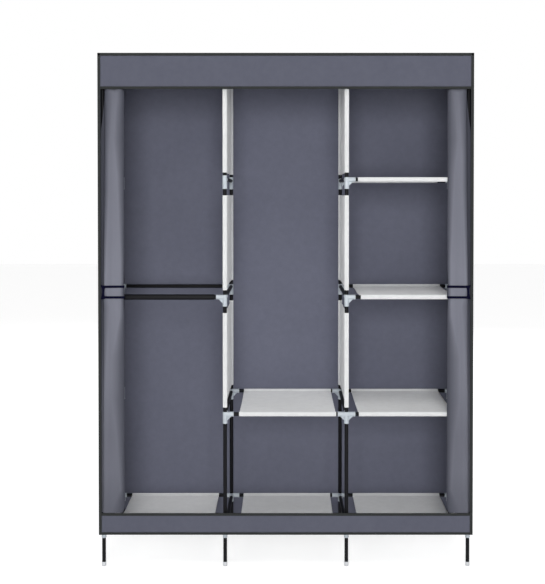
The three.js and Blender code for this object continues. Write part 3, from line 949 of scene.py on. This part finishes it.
def corner_tape(form, start, end, right, up, first, second):
    """Tape along an edge of the case, with a row of stitches on each of its two faces."""
    swept(form, corner_section(first, second), (start, end), right, up)
    for step in (up * PROUD - right * (first - SEAM_MARGIN),
                 right * PROUD - up * (second - SEAM_MARGIN)):
        stitches(form, [Vector(start) + step, Vector(end) + step], 1)


def hem(form, node, height, out, sewn, ends=0.0):
    """Tape folded over a panel's edge at a height, stitched above its middle where sewn is 1 and
    below it where sewn is -1. The tape stops short of the panel's sides by ends."""
    surface, across, _ = surfaces[node]
    line = [surface(s, height) for s in steps_between(across[0] + ends, across[1] - ends)]
    swept(form, FLAT_SECTION, line, Z, out)
    step = Z * sewn * (TAPE / 2 - SEAM_MARGIN) + out * TAPE_THICKNESS / 2
    stitches(form, [point + step for point in line], 1)


case_foot, back_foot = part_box("valance_bottom")[0].z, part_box("cover_back")[0].z
left_x, right_x = roof_low.x, roof_high.x
front_face, back_face, roof_face = roof_low.y, roof_high.y, roof_high.z
TO_EDGE = TAPE / 2 - TAPE_PAST

front_binding = Form()
for sign, x in ((-1, left_x), (1, right_x)):
    corner_tape(front_binding, (x, front_face, case_foot - TAPE_PAST), (x, front_face, roof_face),
                X * sign, -Y, TAPE, CORNER_RETURN)
corner_tape(front_binding, (left_x, front_face, roof_face), (right_x, front_face, roof_face),
            -Y, Z, CORNER_RETURN, TAPE)
for node, height, sewn in (("valance_top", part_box("valance_top")[0].z + TO_EDGE, 1),
                           ("valance_bottom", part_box("valance_bottom")[1].z - TO_EDGE, -1),
                           ("valance_bottom", case_foot + TO_EDGE, 1)):
    hem(front_binding, node, height, -Y, sewn, FRONT_HEM_INSET)
front_binding.piece("front_binding", (black_tape, black_thread), "frame", "black_binding")

rear_binding = Form()
for sign, x, node in ((-1, left_x, "cover_side_left"), (1, right_x, "cover_side_right")):
    corner_tape(rear_binding, (x, back_face, case_foot), (x, back_face, roof_face),
                X * sign, Y, CORNER_RETURN, CORNER_RETURN)
    corner_tape(rear_binding, (x, front_face, roof_face), (x, back_face, roof_face),
                X * sign, Z, CORNER_RETURN, CORNER_RETURN)
    hem(rear_binding, node, case_foot + TO_EDGE, X * sign, 1, SIDE_HEM_INSET)
    edge_x = x - sign * TO_EDGE
    swept(rear_binding, FLAT_SECTION,
          ((edge_x, back_y, back_foot), (edge_x, back_y, case_foot)), X, Y)
corner_tape(rear_binding, (left_x, back_face, roof_face), (right_x, back_face, roof_face),
            Y, Z, CORNER_RETURN, CORNER_RETURN)
hem(rear_binding, "cover_back", back_foot + TO_EDGE, Y, 1)
rear_binding.piece("rear_binding", (black_tape, black_thread), "frame", "black_binding")


# The door curtains: a lighter grey cloth, sewn into the side seams, folded back and forth into a
# flat bundle at each side and held there by a tie-band. At the head the seam edge is drawn in too.
LAYERS = 8
CURTAIN_CLOTH = 0.5 * MM
LAYER_POINTS = 26
TURN_POINTS = 5
CURTAIN_STEP = 14 * MM
BUNDLE_FACE = -213.2 * MM
BUNDLE_BACK = -201.4 * MM
SEAM_INSET = 1.8 * MM
# how far from the seam the cloth gives, and how far below the head the seam edge starts to be
# drawn in
SEAM_GIVE, SEAM_OPENS = 8 * MM, 230 * MM
CORNER_IN, CORNER_UP = 7 * MM, 20 * MM
INNER_TURN, OUTER_TURN = 17 * MM, 6 * MM
# how far in from the cover's side the bundle starts, at its head, tie and foot, and where it ends
OUTER_HEAD, OUTER_TIE, OUTER_FOOT = 21 * MM, 15 * MM, 11 * MM
INNER_EDGE, PINCH, PINCH_REACH = 87 * MM, 2.2 * MM, 70 * MM
# ridges down the bundle's face, where in a ridge the face starts, and how far that wanders
RIDGES, RIDGE_TURN, RIDGE_DRIFT = 1.7, 0.15, 0.2
# how deep the valleys are, how much of that the tie presses out, how round the foot's inner turn
# is, how full the bundle is at its edges, and how far out the cloth turns back
VALLEY_SHARE, PRESSED_SHARE, FOOT_TURN_SHARE, EDGE_SHARE, TURN_SHARE = 0.45, 0.7, 0.4, 0.15, 0.6
FOOT_FULL = 60 * MM
FOLD_WANDER, GATHER, LAYER_INSET, LAYER_TUCK = 1.5 * MM, 0.5 * MM, 1 * MM, 1.5 * MM
HEAD_TUCK, FOOT_DROP, FOOT_STEPS = 0.6 * MM, 1 * MM, 6
PLACE_AT_REST = "place_at_rest"
# the curtain's colours: painted shade at the dark end, the lit grey cloth at the pale end
CURTAIN_PAINTED_SHADE_TO_GREY = (0.068, 0.071, 0.092), (0.222, 0.228, 0.274)


def curtain_cloth():
    """The cover's cloth in a lighter grey, with painted shade: its outer turn and the slack inner
    folds behind its face are painted darker, most where the bundle is hollow, and so are its foot
    and its head."""
    made, shader, place = cloth_finish("curtain_cloth", 0.3)
    place = place.node("ShaderNodeAttribute", {"attribute_name": PLACE_AT_REST}, output="Vector")
    side, height = coordinate(place, "X"), coordinate(place, "Z")
    inset = (right_x - side.math("ABSOLUTE", side)) * (1 / INNER_EDGE)

    def by_height(*stops):
        """A share that follows the height: (height in metres, share) stops."""
        return height.node("ShaderNodeValToRGB", {
            "stops": [(z / roof_face, (share,) * 3) for z, share in stops]},
            {0: height * (1 / roof_face)})

    # painted light and shade: how lit the cloth is painted at each height, where the painted shade
    # of its outer turn starts to fade, how wide that fade is, and from where on inwards it is
    # painted into
    # shade again: the last three are shares of the way in to the inner edge
    strength = by_height((0.20, 0.42), (0.33, 0.66), (0.45, 0.64), (0.62, 0.86), (1.02, 1.0),
                         (1.14, 0.91), (1.40, 0.86), (1.60, 0.70))
    outer_painted_shade_fades = ranged(height, 0.55, 1.3, 0.03, 0.27)
    turn = by_height((0.25, 0.09), (0.60, 0.18), (0.89, 0.30), (0.97, 0.11), (1.40, 0.17),
                     (1.60, 0.31))
    inner_painted_shade_from = by_height((0.20, 0.50), (0.27, 0.84), (0.45, 0.70), (0.58, 0.48), (0.72, 0.50),
                      (0.86, 0.84), (1.05, 0.86), (1.34, 0.74), (1.46, 0.58), (1.60, 0.74))
    outer, inner = ranged(inset, outer_painted_shade_fades, outer_painted_shade_fades + turn), ranged(inset, inner_painted_shade_from, 0.98, 1.0, 0.0)
    # painted shade of soft folds in vertical streaks, partly random tone, then all the painted
    # shade together
    streaks = place.node("ShaderNodeVectorMath", {"operation": "MULTIPLY"}, {
        0: place, 1: (46, 10, 1.5)})
    shade = strength * outer * inner * (noise_at(streaks, scale=1, detail=2) * 0.3 + 0.85)
    colour(shader, shade, *CURTAIN_PAINTED_SHADE_TO_GREY)
    return made


curtain_grey = curtain_cloth()


def keep_places(made):
    """Notes each point's place at rest, so that the cloth's painted shade moves with it."""
    places = made.data.attributes.new(PLACE_AT_REST, "FLOAT_VECTOR", "POINT")
    places.data.foreach_set("vector", [c for point in made.data.vertices for c in point.co])


def bundle_row(z, low, high, tie_z):
    """The curtain's cross-section at a height: (distance in from the cover's side, y) points."""
    outer = OUTER_TIE + (OUTER_HEAD - OUTER_TIE) * ease_in(z - tie_z, high - tie_z)
    outer += (OUTER_FOOT - OUTER_TIE) * ease_in(tie_z - z, tie_z - low)
    pressed = math.exp(-((z - tie_z) / PINCH_REACH) ** 2)
    inner = INNER_EDGE - PINCH * pressed - CORNER_IN * max(0, 1 - (z - low) / CORNER_UP) ** 1.5
    seam = SEAM_INSET + (outer - SEAM_INSET) * ease_in(z - high + SEAM_OPENS, SEAM_OPENS)
    ridge_start = RIDGE_TURN + RIDGE_DRIFT * drift(z * 1.3, 0, 4)
    above_foot = min(1, (z - low) / FOOT_FULL)
    inner_turn = INNER_TURN * (FOOT_TURN_SHARE + (1 - FOOT_TURN_SHARE) * above_foot)
    valley = VALLEY_SHARE * above_foot * (1 - PRESSED_SHARE * pressed)

    def depth(place):
        """How far the bundle's face stands in front of its back."""
        share = clamped((place - outer) / (inner - outer))
        turns = [math.sqrt(1 - (1 - min(1, near / reach)) ** 2) for near, reach in (
            (share * (inner - outer), OUTER_TURN), ((1 - share) * (inner - outer), inner_turn))]
        hollow = 0.5 + 0.5 * math.cos(2 * math.pi * (RIDGES * share + ridge_start))
        full = EDGE_SHARE + (1 - EDGE_SHARE) * turns[0] * turns[1]
        gathers = GATHER * pressed * drift(place * 180, z * 30, 2)
        return (BUNDLE_BACK - BUNDLE_FACE) * (1 - valley * hollow) * full + gathers

    row = []
    for layer in range(LAYERS):
        first = outer + LAYER_INSET + FOLD_WANDER * drift(z * 1.9, layer * 3.1, 8)
        last = inner - LAYER_TUCK + FOLD_WANDER * drift(z * 2.1, layer * 3.7, 1)
        if layer == 0:
            first = seam
        for i in range(LAYER_POINTS):
            share = i / (LAYER_POINTS - 1)
            place = first + (last - first) * (1 - share if layer % 2 else share)
            row.append((place, BUNDLE_BACK - depth(place) * layer / (LAYERS - 1)))
        if layer < LAYERS - 1:
            x, y = row[-1]
            bulge = 1 if layer % 2 == 0 else -1
            gap = depth(x) / (LAYERS - 1)
            for k in range(1, TURN_POINTS):
                turn = math.pi * k / TURN_POINTS
                row.append((x + bulge * gap * TURN_SHARE * math.sin(turn),
                            y - gap * (1 - math.cos(turn)) / 2))
    return row


def curtain(side, sign):
    node = f"curtain_{side}"
    low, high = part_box(node)
    foot, head, tie_z = low.z - FOOT_DROP, high.z + HEAD_TUCK, middle(f"tie_{side}").z
    corner = foot + CORNER_UP
    heights = [foot + CORNER_UP * k / FOOT_STEPS for k in range(FOOT_STEPS)]
    count = round((head - corner) / CURTAIN_STEP)
    heights += [corner + (head - corner) * k / count for k in range(count + 1)]
    cloth = Form()
    cloth.skin([[Vector((sign * (right_x - inset), y, z))
                 for inset, y in bundle_row(z, foot, head, tie_z)] for z in heights],
               round_rows=False)
    made = cloth.piece(f"door_curtain_{side}", (curtain_grey,), None, "curtain_cloth", (node,),
                       closed=False)
    keep_places(made)
    thickened(made, CURTAIN_CLOTH)
    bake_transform(made)


for side, sign in SIDES:
    curtain(side, sign)


# The tie-bands: a strip of the same cloth with dark bound edges goes round each bundle. A bar of
# the binding gathers its outer end, and its two corners run out to the side seam.
BAND_THICKNESS, BODY_SHARE = 0.9 * MM, 0.6
BAND_EDGE = 8 * MM
BAND_START = 18 * MM
BAND_PROUD = 0.2 * MM
BAND_CORNER, BAND_WAVE = 3.2 * MM, 1.2 * MM
END_THICKNESS, END_CORNER = 1.4 * MM, 1.5 * MM
EDGING = (0.001, 0.001, 0.010), (0.003, 0.003, 0.018)
# the gathered end: distances in from the cover's side, and heights above the band's middle
BAND_END = [(mm_in * MM, mm_up * MM) for mm_in, mm_up in (
    (9.3, 26), (9.3, 18.5), (12.4, 14.5), (13.7, 6), (13.3, -3), (11.6, -12), (9.4, -19.5),
    (9.4, -24), (16, -23), (24, -22.3), (24, -14.5), (21.2, -12.5), (20.7, -3), (21, 7),
    (22.6, 13.5), (27, 15), (27, 22), (18, 22.2), (13.2, 23.6))]


def navy_binding():
    """The near-black, faintly blue edging of the tie-bands."""
    made, shader, place = finish("band_edging", {"Roughness": 0.75, "Specular IOR Level": 0.06})
    colour(shader, noise_at(place, scale=60, detail=3), *EDGING)
    roughen(shader, noise_at(place, scale=1400, detail=2), depth=0.08 * MM, strength=0.5)
    return made


band_edging = navy_binding()


def tie_band(side, sign):
    node = f"tie_{side}"
    low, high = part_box(node)
    front, centre = low.y - BAND_PROUD, middle(node).z
    inner = right_x - min(abs(low.x), abs(high.x)) - BAND_THICKNESS / 2
    face, back = front + BAND_THICKNESS, high.y - BAND_THICKNESS
    loop = rounded([(BAND_START, face), (inner, face), (inner, back), (BAND_START, back)],
                   BAND_CORNER, steps=6)
    outward = []
    for i in range(len(loop)):
        ahead = loop[(i + 1) % len(loop)] - loop[i - 1]
        outward.append(Vector((ahead.y, -ahead.x)).normalized())
    band = Form()

    def wall(z_low, z_high, thickness, finish_number):
        rows = []
        for z, grow in ((z_low, 0), (z_low, thickness), (z_high, thickness), (z_high, 0)):
            rows.append([Vector((sign * (right_x - p.x - n.x * grow), p.y + n.y * grow,
                                 z + BAND_WAVE * drift(p.x * 45, p.y * 45, z * 20)))
                         for p, n in zip(loop, outward)])
        band.skin(rows, finish_number, round_all=True)

    wall(low.z + BAND_EDGE, high.z - BAND_EDGE, BAND_THICKNESS * BODY_SHARE, 0)
    wall(low.z, low.z + BAND_EDGE, BAND_THICKNESS, 1)
    wall(high.z - BAND_EDGE, high.z, BAND_THICKNESS, 1)
    keep_places(band.piece(f"band_{side}", (curtain_grey, band_edging), f"door_{side}",
                           "curtain_cloth", (node,)))

    end = Form()
    rows = [[Vector((sign * (right_x - p.x), y, centre + p.y))
             for p in rounded(BAND_END, END_CORNER)] for y in (front - END_THICKNESS, front)]
    end.skin(rows)
    cap(end, rows[0])
    cap(end, rows[1])
    end.piece(f"band_end_{side}", (band_edging,), f"door_{side}", "curtain_cloth")


for side, sign in SIDES:
    tie_band(side, sign)


# The box round the dressed wardrobe.
low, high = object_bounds()
